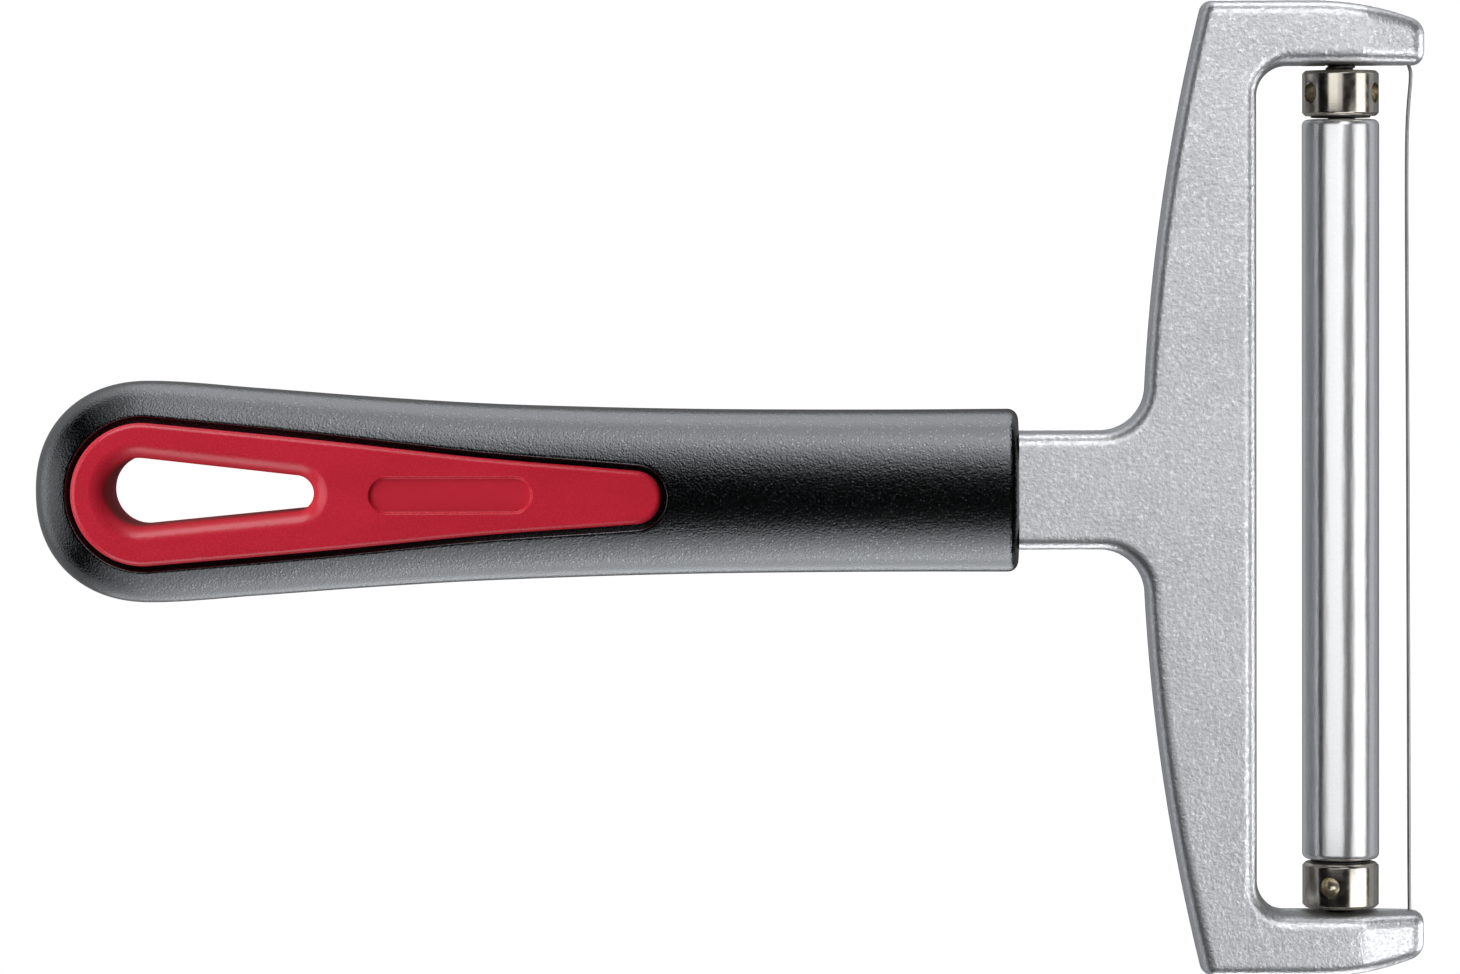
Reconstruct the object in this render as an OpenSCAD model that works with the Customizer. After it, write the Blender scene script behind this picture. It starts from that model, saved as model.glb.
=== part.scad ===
// Hand-held wire cheese slicer with a guide roller.
// Frame: X runs from the handle's tail to the cutting wire, Y along the roller,
// Z up from the table that the slicer lies on. Millimetres.

/* [Handle] */
// Length of the moulded handle, tail to front end face
handle_len = 132.8; // [128:0.1:138]
// Widest half-width, at the round tail
tail_half_w = 15; // [14.5:0.1:15.5]
// Half-thickness at the front end
handle_half_t = 8; // [7.8:0.05:8.4]
// Half-thickness at the tail
tail_half_t = 7.7; // [7.6:0.05:7.8]

/* [Inlay] */
// Half-width of the inlay at its tail end
inlay_r1 = 9.25; // [9:0.05:9.5]
// Half-width of the inlay at its pointed end
inlay_r2 = 3.4; // [3.1:0.05:3.6]
// Distance between the centres of the inlay's two end arcs
inlay_span = 65.8; // [60:0.1:68]
// Open groove between inlay and handle
inlay_gap = 0.85; // [0.4:0.05:1]
// Radius of the hanging eye at its tail end
eye_r1 = 4.7; // [4.2:0.1:5]
// Radius of the hanging eye at its narrow end
eye_r2 = 2.65; // [2.4:0.05:2.9]
// Distance between the centres of the eye's two end arcs
eye_span = 21.3; // [18:0.1:23]

/* [Fork] */
// Overall width of the fork across its two arms
fork_w = 131.6; // [126:0.1:136]
// Clear height of the window between the arms
window_h = 113.8; // [113.6:0.1:114.4]
// Thickness of the casting
fork_t = 13; // [12:0.1:14]
// Width of the neck
neck_w = 16.2; // [14:0.1:18]
// Fillet between neck and web
neck_fillet = 6; // [4:0.5:8]
// Radius of the bowed back of the web
back_r = 270; // [240:1:300]

/* [Roller and nuts] */
// Roller diameter
roller_d = 10.4; // [9.6:0.1:11]
// Roller length
roller_len = 99.7; // [98:0.1:99.9]
// Spindle diameter
spindle_d = 4; // [3.6:0.1:4.4]
// Tension nut diameter
nut_d = 10.3; // [9.6:0.1:11]
// Tension nut length
nut_len = 6.1; // [6:0.05:6.2]
// Diameter of the radial pin holes in the nuts
pin_hole_d = 2.6; // [2:0.1:2.8]
// Gap between the upper nut and its arm
upper_gap = 0.6; // [0.5:0.05:0.7]
// Gap between the lower nut and its arm
lower_gap = 0.4; // [0.3:0.05:0.5]
// Thrust washer thickness
washer_t = 0.25; // [0.2:0.05:0.3]

/* [Wire] */
// Wire diameter
wire_d = 0.5; // [0.4:0.05:0.6]
// Distance from the roller's axis to the wire
wire_offset = 8.9; // [8.5:0.1:9.2]

/* [Hidden] */
$fn = 64;

total_len = 187.5;                     // tail to arm tips
x_tail = -total_len / 2;
x_tip = total_len / 2;
x_end = x_tail + handle_len;           // handle's front end face
z0 = handle_half_t;                    // mid-plane of every piece
fork_h = fork_t / 2;
roller_r = roller_d / 2;
nut_r = nut_d / 2;
spindle_r = spindle_d / 2;
run = 0.05;                            // radial running clearance
axis_x = 82.5;                         // roller axis
wire_x = axis_x + wire_offset;
wire_end = [0.1, 0.4];                 // wire's shift in the upper and lower arm
arm_y = window_h / 2;                  // arms' inner faces
out_y = fork_w / 2;                    // arms' outer edges

// stack of pieces along the spindle, top to bottom
upper_nut_y = arm_y - upper_gap - nut_len;       // inner face of the upper nut
lower_nut_y = -arm_y + lower_gap + nut_len;      // inner face of the lower nut
upper_washer_y = upper_nut_y - washer_t;
lower_washer_y = lower_nut_y + washer_t;
roller_mid = (upper_washer_y + lower_washer_y) / 2;

// ------------------------------------------------------------ outlines
function arc(c, r, a, b, n) =
    [for (i = [0:n]) c + r * [cos(a + (b - a) * i / n), sin(a + (b - a) * i / n)]];
function flip(p) = [for (i = [len(p) - 1:-1:0]) [p[i][0], -p[i][1]]];

// two unequal end arcs joined by their common tangents
function taper(x1, r1, x2, r2, n = 24) =
    let (f = acos((r1 - r2) / (x2 - x1)))
    concat(arc([x2, 0], r2, -f, f, n), arc([x1, 0], r1, f, 360 - f, 2 * n));

// upper half of the fork's outline, from the neck's end to the window's middle
web_x = 55.7;                          // bowed back at the axis
win_x = 71.2;                          // window's straight side
back_c = [web_x + back_r, 0];
shoulder_r = 1.5;                      // outer corner of web and arm
arm_r = 40;                            // bowed outer edge of the arm
arm_c = [78.5, out_y - arm_r];
tip_r = 2.8;                           // arm tip, outer corner
tip_r2 = 1.4;                          // arm tip, inner corner
win_r = 4;                             // window corner
function fork_half() =
    let (
        fy = neck_w / 2 + neck_fillet,
        fc = [back_c[0] - sqrt(pow(back_r + neck_fillet, 2) - fy * fy), fy],
        fa = atan2(-fy, back_c[0] - fc[0]),
        sy = out_y - shoulder_r,
        sc = [back_c[0] - sqrt(pow(back_r - shoulder_r, 2) - sy * sy), sy],
        sa = 180 - asin(sy / (back_r - shoulder_r)),
        tx = x_tip - tip_r,
        tc = [tx, arm_c[1] + sqrt(pow(arm_r - tip_r, 2) - pow(tx - arm_c[0], 2))],
        ta = atan2(tc[1] - arm_c[1], tx - arm_c[0]))
    concat(
        [[x_end, neck_w / 2]],
        arc(fc, neck_fillet, -90, fa, 12),
        arc(back_c, back_r, 180 + fa - 0.5, sa, 14),
        arc(sc, shoulder_r, sa - 6, 90, 6),
        arc(arm_c, arm_r, 90, ta, 8),
        arc(tc, tip_r, ta - 8, 0, 8),
        arc([x_tip - tip_r2, arm_y + tip_r2], tip_r2, -9, -90, 6),
        arc([win_x + win_r, arm_y - win_r], win_r, 90, 180, 10));

// ------------------------------------------------------------ handle body
// half-widths at equal steps from the tail's widest point to the front end
handle_w = [tail_half_w, 14.05, 12.95, 12.05, 11.5, 11.15, 11, 10.95, 11];
x_wide = x_tail + 15.5;
sec_n = 2.4;                           // section's superellipse exponent
plan_n = 2.2;                          // tail's plan exponent
function curve(v, u) =
    let (m = len(v) - 1, i = min(floor(u * m), m - 1), t = u * m - i,
         a = i == 0 ? v[1] : v[i - 1], b = v[i], c = v[i + 1],
         d = i + 2 > m ? v[m] : v[i + 2])
    0.5 * (2 * b + (c - a) * t + (2 * a - 5 * b + 4 * c - d) * t * t
           + (3 * b - a - 3 * c + d) * t * t * t);
function ease(u) = u < 0 ? 0 : u > 1 ? 1 : u * u * (3 - 2 * u);
function half_t(u) = tail_half_t + (handle_half_t - tail_half_t) * ease(u / 0.85);
function bulge(s, n) = pow(1 - pow(s, n), 1 / n);
tail_steps = [0.9985, 0.985, 0.955, 0.89, 0.78, 0.6, 0.35];
stations = concat(
    [for (s = tail_steps) [x_wide - 15.5 * s, tail_half_w * bulge(s, plan_n),
                           tail_half_t * bulge(s, sec_n)]],
    [for (i = [0:16]) let (u = i / 16 * 0.993)
        [x_wide + (x_end - x_wide) * u, curve(handle_w, u), half_t(u)]],
    [[x_end - 0.3, curve(handle_w, 1) - 0.25, handle_half_t - 0.25],
     [x_end, curve(handle_w, 1) - 0.9, handle_half_t - 0.9]]);
sides = 28;
function sgn_pow(v, e) = sign(v) * pow(abs(v), e);
function ring(s) = [for (j = [0:sides - 1]) let (a = 360 * j / sides)
    [s[0], s[1] * sgn_pow(cos(a), 2 / sec_n), z0 + s[2] * sgn_pow(sin(a), 2 / sec_n)]];

// closed skin over a list of rings with equal point counts
module skin(rings) {
    m = len(rings[0]);
    k = len(rings);
    polyhedron(
        points = [for (r = rings) each r],
        faces = concat(
            [[for (j = [0:m - 1]) j]],
            [for (i = [0:k - 2], j = [0:m - 1]) let (q = (j + 1) % m)
                [(i + 1) * m + j, (i + 1) * m + q, i * m + q]],
            [for (i = [0:k - 2], j = [0:m - 1]) let (q = (j + 1) % m)
                [(i + 1) * m + j, i * m + q, i * m + j]],
            [[for (j = [m - 1:-1:0]) (k - 1) * m + j]]));
}

// ------------------------------------------------------------ shared shapes
tang_x = x_end - 45;                   // tang's inner end
tang_w = 12;
tang_t = 5.5;
module tang() {
    translate([tang_x, -tang_w / 2, z0 - tang_t / 2])
        cube([x_end + 4 - tang_x, tang_w, tang_t]);
    // barbs that hold the tang in the moulding
    for (s = [-1, 1], i = [0:3])
        translate([tang_x + 8 + 8 * i, 0, z0 - tang_t / 2])
            linear_extrude(tang_t)
                polygon([[-3, 0], [-3, s * tang_w / 2], [0, s * (tang_w / 2 + 0.7)], [0, 0]]);
}

inlay_x1 = x_wide - 0.4;
inlay_x2 = inlay_x1 + inlay_span;
eye_x1 = inlay_x1 - 0.55;
eye_x2 = eye_x1 + eye_span;
pocket_h = 3.5;                        // pocket floor above the mid-plane
sleeve_t = 1.3;                        // inlay's wall round the eye
inlay_face = 7.95;                     // inlay's face above the mid-plane

module y_cyl(x, y1, y2, r) {
    translate([x, y1, z0]) rotate([-90, 0, 0]) cylinder(h = y2 - y1, r = r);
}

// ------------------------------------------------------------ pieces
module fork_casting() {
    color([0.74, 0.75, 0.77])
    difference() {
        union() {
            translate([0, 0, z0 - fork_h]) linear_extrude(fork_t)
                polygon(concat(fork_half(), flip(fork_half())));
            tang();
        }
        // sloping faces of the arm tips, front and back
        for (s = [-1, 1], k = [-1, 1])
            translate([85.4, s * (arm_y + 5) - 7, z0])
                scale([1, 1, k])
                    translate([0, 0, fork_h]) rotate([0, 9, 0]) cube([12, 14, 4]);
        // spindle seats: blind in the upper arm, through the lower arm
        y_cyl(axis_x, arm_y - 1, arm_y + 5.5, spindle_r + run);
        y_cyl(axis_x, -out_y - 2, -arm_y + 1, spindle_r + run);
        // wire holes with a counterbore for the wire stops
        for (s = [0, 1]) mirror([0, s, 0]) {
            y_cyl(wire_x + wire_end[s], arm_y - 1, arm_y + 6, 0.45);
            y_cyl(wire_x + wire_end[s], arm_y + 4.2, out_y + 2, 1.3);
        }
    }
}

module handle_shell() {
    color([0.13, 0.135, 0.14])
    difference() {
        skin([for (s = stations) ring(s)]);
        for (k = [0, 1]) translate([0, 0, z0]) mirror([0, 0, k])
            translate([0, 0, pocket_h]) linear_extrude(10)
                polygon(taper(inlay_x1, inlay_r1 + inlay_gap, inlay_x2, inlay_r2 + inlay_gap));
        translate([0, 0, -1]) linear_extrude(2 * z0 + 2)
            polygon(taper(eye_x1, eye_r1 + sleeve_t, eye_x2, eye_r2 + sleeve_t));
        tang();
    }
}

module inlay() {
    color([0.72, 0.12, 0.18])
    difference() {
        union() {
            translate([0, 0, pocket_h]) linear_extrude(inlay_face - pocket_h)
                polygon(taper(inlay_x1, inlay_r1, inlay_x2, inlay_r2));
            linear_extrude(pocket_h + 1)
                polygon(taper(eye_x1, eye_r1 + sleeve_t, eye_x2, eye_r2 + sleeve_t));
        }
        translate([0, 0, -1]) linear_extrude(12)
            polygon(taper(eye_x1, eye_r1, eye_x2, eye_r2));
        // plain shallow panel with round ends
        translate([inlay_x1 + 41.5, 0, inlay_face - 0.25]) linear_extrude(2)
            polygon(concat(arc([8.5, 0], 2.4, -90, 90, 16), arc([-8.5, 0], 2.4, 90, 270, 16)));
    }
}
module front_inlay() { translate([0, 0, z0]) inlay(); }
module back_inlay() { translate([0, 0, z0]) mirror([0, 0, 1]) inlay(); }

// steel spindle with thread ridges at both ends
pitch = 0.7;
root_r = spindle_r - 0.35;
module thread_end(y, s, turns) {
    for (i = [0:turns - 1])
        translate([axis_x, y + s * pitch * (i + 0.5), z0]) rotate([-90, 0, 0])
            rotate_extrude()
                polygon([[0, -pitch / 2], [root_r, -pitch / 2], [spindle_r, -0.1],
                         [spindle_r, 0.1], [root_r, pitch / 2], [0, pitch / 2]]);
}
spindle_top = arm_y + 5.4;
spindle_bot = -out_y + 1.5;
thread_top = spindle_top - 0.7;
thread_bot = spindle_bot + 0.7;
module spindle() {
    color([0.28, 0.28, 0.29])
    union() {
        y_cyl(axis_x, thread_bot + 24 * pitch, thread_top - 24 * pitch, spindle_r);
        thread_end(thread_top, -1, 24);
        thread_end(thread_bot, 1, 24);
        y_cyl(axis_x, thread_top, spindle_top, root_r);
        y_cyl(axis_x, spindle_bot, thread_bot, root_r);
    }
}

bush_r = 3.5;
bush_len = 10;
module roller_tube() {
    h = roller_len / 2;
    color([0.80, 0.81, 0.82])
    translate([axis_x, roller_mid, z0]) rotate([-90, 0, 0])
        rotate_extrude()
            polygon([[bush_r, -h], [roller_r - 0.6, -h], [roller_r, -h + 0.6],
                     [roller_r, h - 0.6], [roller_r - 0.6, h], [bush_r, h]]);
}
module bush(y) {
    color([0.16, 0.16, 0.17])
    difference() {
        y_cyl(axis_x, y, y + bush_len, bush_r);
        y_cyl(axis_x, y - 1, y + bush_len + 1, spindle_r + run);
    }
}
module upper_roller_bush() { bush(roller_mid + roller_len / 2 - bush_len); }
module lower_roller_bush() { bush(roller_mid - roller_len / 2); }

// capstan nut: three blind radial holes, first one a degrees from +Z towards +X
module nut(y, a) {
    c = 0.5;
    color([0.62, 0.60, 0.55])
    translate([axis_x, y, z0])
    difference() {
        rotate([-90, 0, 0]) rotate_extrude()
            polygon([[spindle_r + run, 0], [nut_r - c, 0], [nut_r, c],
                     [nut_r, nut_len - c], [nut_r - c, nut_len], [spindle_r + run, nut_len]]);
        for (i = [0:2])
            translate([0, nut_len / 2, 0]) rotate([0, a + 120 * i, 0])
                translate([0, 0, nut_r - 2.35]) cylinder(h = 4, r = pin_hole_d / 2);
    }
}
module upper_tension_nut() { nut(upper_nut_y, 62); }
module lower_tension_nut() { nut(lower_nut_y - nut_len, -21); }

module washer(y) {
    color([0.12, 0.12, 0.12])
    difference() {
        y_cyl(axis_x, y, y + washer_t, 4);
        y_cyl(axis_x, y - 1, y + washer_t + 1, spindle_r + 0.1);
    }
}
module upper_thrust_washer() { washer(upper_washer_y); }
module lower_thrust_washer() { washer(lower_nut_y); }

// taut wire, with the small set bend where it leaves the upper arm
stop_y = arm_y + 4.25;                 // stops bear on the counterbore floors
wire_path = [[0.4, -stop_y - 1.7], [0.4, -arm_y - 0.4], [0.36, -arm_y + 4], [0.17, 0], [0, 45],
             [0.1, 49.5], [0.3, 52.5], [0.5, 54.8], [0.5, 56.1], [0.2, 57.2],
             [0.1, 58], [0.1, stop_y + 1.7]];
module cutting_wire() {
    r = wire_d / 2;
    color([0.45, 0.45, 0.46])
    rotate([0, 0, 90])
    skin([for (p = wire_path) [for (j = [0:7]) let (a = 45 * j)
        [p[1], -(wire_x + p[0]) + r * cos(a), z0 + r * sin(a)]]]);
}
module wire_stop(s) {
    color([0.5, 0.5, 0.51])
    mirror([0, s, 0])
    difference() {
        y_cyl(wire_x + wire_end[s], stop_y, stop_y + 1.8, 1.1);
        y_cyl(wire_x + wire_end[s], stop_y - 1, stop_y + 3, wire_d / 2 + 0.02);
    }
}
module upper_wire_stop() { wire_stop(0); }
module lower_wire_stop() { wire_stop(1); }

// ------------------------------------------------------------ assembly
fork_casting();
handle_shell();
front_inlay();
back_inlay();
spindle();
roller_tube();
upper_roller_bush();
lower_roller_bush();
upper_tension_nut();
lower_tension_nut();
upper_thrust_washer();
lower_thrust_washer();
cutting_wire();
upper_wire_stop();
lower_wire_stop();
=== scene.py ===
"""Looks of the hand-held wire cheese slicer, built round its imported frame.

Lengths in the shape code are millimetres in the part's own frame (X from the
handle's tail to the wire, Y along the roller, Z up); meshes are made in metres.
"""

import math

import bmesh
import bpy
import numpy as np
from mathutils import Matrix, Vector
from mathutils.geometry import delaunay_2d_cdt


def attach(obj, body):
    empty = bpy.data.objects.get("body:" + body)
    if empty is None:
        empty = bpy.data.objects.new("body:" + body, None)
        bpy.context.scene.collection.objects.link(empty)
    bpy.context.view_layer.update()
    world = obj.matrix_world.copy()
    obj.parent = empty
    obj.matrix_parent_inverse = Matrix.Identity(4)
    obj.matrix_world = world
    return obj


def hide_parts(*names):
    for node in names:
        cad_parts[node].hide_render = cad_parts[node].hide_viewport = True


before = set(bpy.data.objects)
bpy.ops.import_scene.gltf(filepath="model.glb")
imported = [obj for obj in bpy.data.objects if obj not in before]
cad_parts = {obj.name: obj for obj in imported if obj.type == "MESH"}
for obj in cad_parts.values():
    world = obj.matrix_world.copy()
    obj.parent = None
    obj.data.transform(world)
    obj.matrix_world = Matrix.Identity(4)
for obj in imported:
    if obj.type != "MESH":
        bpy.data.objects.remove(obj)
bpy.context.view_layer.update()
scene = bpy.context.scene

MM = 0.001
Z0 = 8.0                      # mid-plane of every piece
X_TAIL, X_TIP = -93.75, 93.75
X_END = 39.05                 # handle's front end face
AXIS_X = 82.5                 # roller axis
WIRE_X = 91.4
WIRE_END = {1: 0.1, -1: 0.4}     # wire's shift in the upper and lower arm
ARM_Y, OUT_Y = 56.9, 65.8


# ------------------------------------------------------------------ helpers
def make(name, verts, faces, sharp=35.0):
    """A mesh object from millimetre points, smooth except at corners over sharp degrees."""
    me = bpy.data.meshes.new(name)
    me.from_pydata([tuple(c * MM for c in v) for v in verts], [], faces)
    me.validate()
    bm = bmesh.new()
    bm.from_mesh(me)
    bmesh.ops.recalc_face_normals(bm, faces=bm.faces)
    bm.to_mesh(me)
    bm.free()
    return finish_mesh(name, me, sharp)


def finish_mesh(name, me, sharp):
    me.update()
    me.polygons.foreach_set("use_smooth", [True] * len(me.polygons))
    me.set_sharp_from_angle(angle=math.radians(sharp))
    ob = bpy.data.objects.new(name, me)
    scene.collection.objects.link(ob)
    return ob


def rings_faces(k, m, start=0, closed=True, flip=False):
    """Quads between k rings of m points each."""
    out = []
    for i in range(k - 1):
        a, b = start + i * m, start + (i + 1) * m
        for j in range(m if closed else m - 1):
            q = (j + 1) % m
            f = (a + j, a + q, b + q, b + j)
            out.append(f[::-1] if flip else f)
    return out


def weld(verts, faces, tol=1e-5):
    """Merges points that coincide, so that patches share their seams."""
    key, index, out = {}, [], []
    for v in verts:
        k = tuple(int(round(c / tol)) for c in v)
        if k not in key:
            key[k] = len(out)
            out.append(v)
        index.append(key[k])
    fs = []
    for f in faces:
        g = []
        for i in f:
            n = index[i]
            if not g or (n != g[-1] and n != g[0]):
                g.append(n)
        if len(g) > 2:
            fs.append(tuple(g))
    return out, fs


def cut(ob, cutters, how="DIFFERENCE", sharp=35.0):
    """Boolean of ob with each cutter in turn, applied."""
    for c in cutters:
        m = ob.modifiers.new("b", "BOOLEAN")
        m.operation, m.object, m.solver = how, c, "EXACT"
    dg = bpy.context.evaluated_depsgraph_get()
    me = bpy.data.meshes.new_from_object(ob.evaluated_get(dg))
    ob.modifiers.clear()
    name = ob.name
    old = ob.data
    bpy.data.objects.remove(ob)
    bpy.data.meshes.remove(old)
    for c in cutters:
        old = c.data
        bpy.data.objects.remove(c)
        bpy.data.meshes.remove(old)
    me.name = name
    return finish_mesh(name, me, sharp)


def arc(cx, cy, r, a, b, n):
    return [(cx + r * math.cos(math.radians(a + (b - a) * i / n)),
             cy + r * math.sin(math.radians(a + (b - a) * i / n))) for i in range(n + 1)]


def line(p, q, n):
    """n - 1 points strictly between p and q."""
    return [(p[0] + (q[0] - p[0]) * i / n, p[1] + (q[1] - p[1]) * i / n) for i in range(1, n)]


def lathe(name, profile, seg=160, x=AXIS_X, z=Z0, sharp=35.0):
    """Closed (radius, y) profile turned about the Y axis through (x, z)."""
    verts, m = [], len(profile)
    for i in range(seg):
        a = 2 * math.pi * i / seg
        verts += [(x + r * math.sin(a), y, z + r * math.cos(a)) for r, y in profile]
    faces = []
    for i in range(seg):
        b, c = i * m, ((i + 1) % seg) * m
        for j in range(m):
            q = (j + 1) % m
            faces.append((b + j, b + q, c + q, c + j))
    return make(name, verts, faces, sharp)


def rounded(points, radii, n=5):
    """Closed (radius, y) profile with its corners rounded by arcs."""
    out, k = [], len(points)
    for i in range(k):
        p, r = np.array(points[i], float), radii[i]
        if r <= 0:
            out.append(tuple(p))
            continue
        u = np.array(points[i - 1], float) - p
        v = np.array(points[(i + 1) % k], float) - p
        u, v = u / np.linalg.norm(u), v / np.linalg.norm(v)
        half = math.acos(max(-1, min(1, float(u @ v)))) / 2
        c = p + (u + v) / np.linalg.norm(u + v) * r / math.sin(half)
        s, e = p + u * r / math.tan(half), p + v * r / math.tan(half)
        a0 = math.atan2(*(s - c)[::-1])
        a1 = math.atan2(*(e - c)[::-1])
        d = (a1 - a0 + math.pi) % (2 * math.pi) - math.pi
        out += [(c[0] + r * math.cos(a0 + d * t / n), c[1] + r * math.sin(a0 + d * t / n))
                for t in range(n + 1)]
    return out


def inside(points, loop):
    """Which points lie in a closed loop, by even-odd crossing."""
    p, q = np.array(loop, float), np.roll(np.array(loop, float), -1, 0)
    x, y = points[:, 0][:, None], points[:, 1][:, None]
    straddle = (p[:, 1] > y) != (q[:, 1] > y)
    with np.errstate(divide="ignore", invalid="ignore"):
        at = (q[:, 0] - p[:, 0]) * (y - p[:, 1]) / (q[:, 1] - p[:, 1]) + p[:, 0]
    return (straddle & (x < at)).sum(1) % 2 == 1


def loop_distance(points, loop):
    """Distance of each point to a closed loop of segments."""
    p, q = np.array(loop, float), np.roll(np.array(loop, float), -1, 0)
    d = q - p
    best = np.full(len(points), 1e9)
    for a, v in zip(p, d):
        w = points - a
        t = np.clip((w @ v) / max(v @ v, 1e-12), 0, 1)
        best = np.minimum(best, np.hypot(*(w - t[:, None] * v).T))
    return best


def fill(loops, holes, step, margin):
    """Triangles over the area inside loops[0] and outside holes, keeping every loop as edges,
    with extra points on a staggered grid. Returns (2D points, triangles)."""
    every = loops + holes
    pts, edges = [], []
    for lp in every:
        b = len(pts)
        pts += [tuple(p) for p in lp]
        edges += [(b + i, b + (i + 1) % len(lp)) for i in range(len(lp))]
    outer = np.array(loops[0])
    lo, hi = outer.min(0), outer.max(0)
    rows = []
    for j, y in enumerate(np.arange(lo[1], hi[1], step * 0.866)):
        rows += [(x + (step / 2 if j % 2 else 0), y) for x in np.arange(lo[0], hi[0], step)]
    g = np.array(rows)
    ok = inside(g, loops[0])
    for h in holes:
        ok &= ~inside(g, h)
    g = g[ok]
    far = np.ones(len(g), bool)
    for lp in every:
        far &= loop_distance(g, lp) > margin
    pts += [tuple(p) for p in g[far]]
    res = delaunay_2d_cdt([Vector(p) for p in pts], edges, [], 0, 1e-6)
    v = np.array([tuple(pts[o[0]]) if o else tuple(p) for p, o in zip(res[0], res[3])])
    tris = [tuple(f) for f in res[2]]
    mid = np.array([v[list(f)].mean(0) for f in tris])
    keep = inside(mid, loops[0])
    for n, f in enumerate(tris):                  # no slivers along straight borders
        a, b, c = v[list(f)]
        u, w = b - a, c - a
        long = max(u @ u, w @ w, (c - b) @ (c - b))
        keep[n] &= abs(u[0] * w[1] - u[1] * w[0]) > 0.004 * long
    for h in holes:
        keep &= ~inside(mid, h)
    return v, [f for f, k in zip(tris, keep) if k]


def ease(u):
    u = min(1.0, max(0.0, u))
    return u * u * (3 - 2 * u)


# ------------------------------------------------------------------ fork casting
BACK_X, BACK_R = 325.7, 270.0


def fork_outline(i):
    """The casting's outline set in by i, with the same point count for every i."""
    neck, fil = 8.1 - i, 6.0 + i
    r_back = BACK_R - i
    fy = neck + fil
    fx = BACK_X - math.sqrt((r_back + fil) ** 2 - fy * fy)
    fa = math.degrees(math.atan2(-fy, BACK_X - fx))
    sr = max(1.8 - i, 0.25)
    sy = OUT_Y - i - sr
    sx = BACK_X - math.sqrt((r_back - sr) ** 2 - sy * sy)
    sa = 180 - math.degrees(math.asin(sy / (r_back - sr)))
    ax, ay, ar = 78.5, 25.8, 40.0 - i
    tr = max(2.8 - i, 0.4)
    tx = X_TIP - i - tr
    ty = ay + math.sqrt((ar - tr) ** 2 - (tx - ax) ** 2)
    ta = math.degrees(math.atan2(ty - ay, tx - ax))
    ir = max(1.8 - i, 0.3)
    ix, iy = X_TIP - i - ir, ARM_Y + i + ir
    wr = 4.0 + i
    wx, wy = 75.2, ARM_Y - 4.0
    half = [(X_END, neck)]
    half += line((X_END, neck), (fx, neck), 14)
    half += arc(fx, fy, fil, -90, fa, 24)
    half += arc(BACK_X, 0, r_back, 180 + fa - 0.06, sa + 0.02, 64)
    half += arc(sx, sy, sr, sa, 90, 14)
    half += line((sx, OUT_Y - i), (ax, OUT_Y - i), 14)
    half += arc(ax, ay, ar, 90, ta + 0.4, 24)
    half += arc(tx, ty, tr, ta, 0, 16)
    half += line((X_TIP - i, ty), (X_TIP - i, iy), 5)
    half += arc(ix, iy, ir, 0, -90, 12)
    half += line((ix, ARM_Y + i), (wx, ARM_Y + i), 26)
    half += arc(wx, wy, wr, 90, 180, 22)
    side = line((71.2 - i, wy), (71.2 - i, -wy), 64)
    return half + side + [(x, -y) for x, y in reversed(half)]


def tip_half(x):
    """Half-thickness of the casting, sloping down over the arm tips."""
    s = x - 85.4
    return 6.5 - math.tan(math.radians(13.0)) * (s + math.sqrt(s * s + 0.2)) / 2


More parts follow.
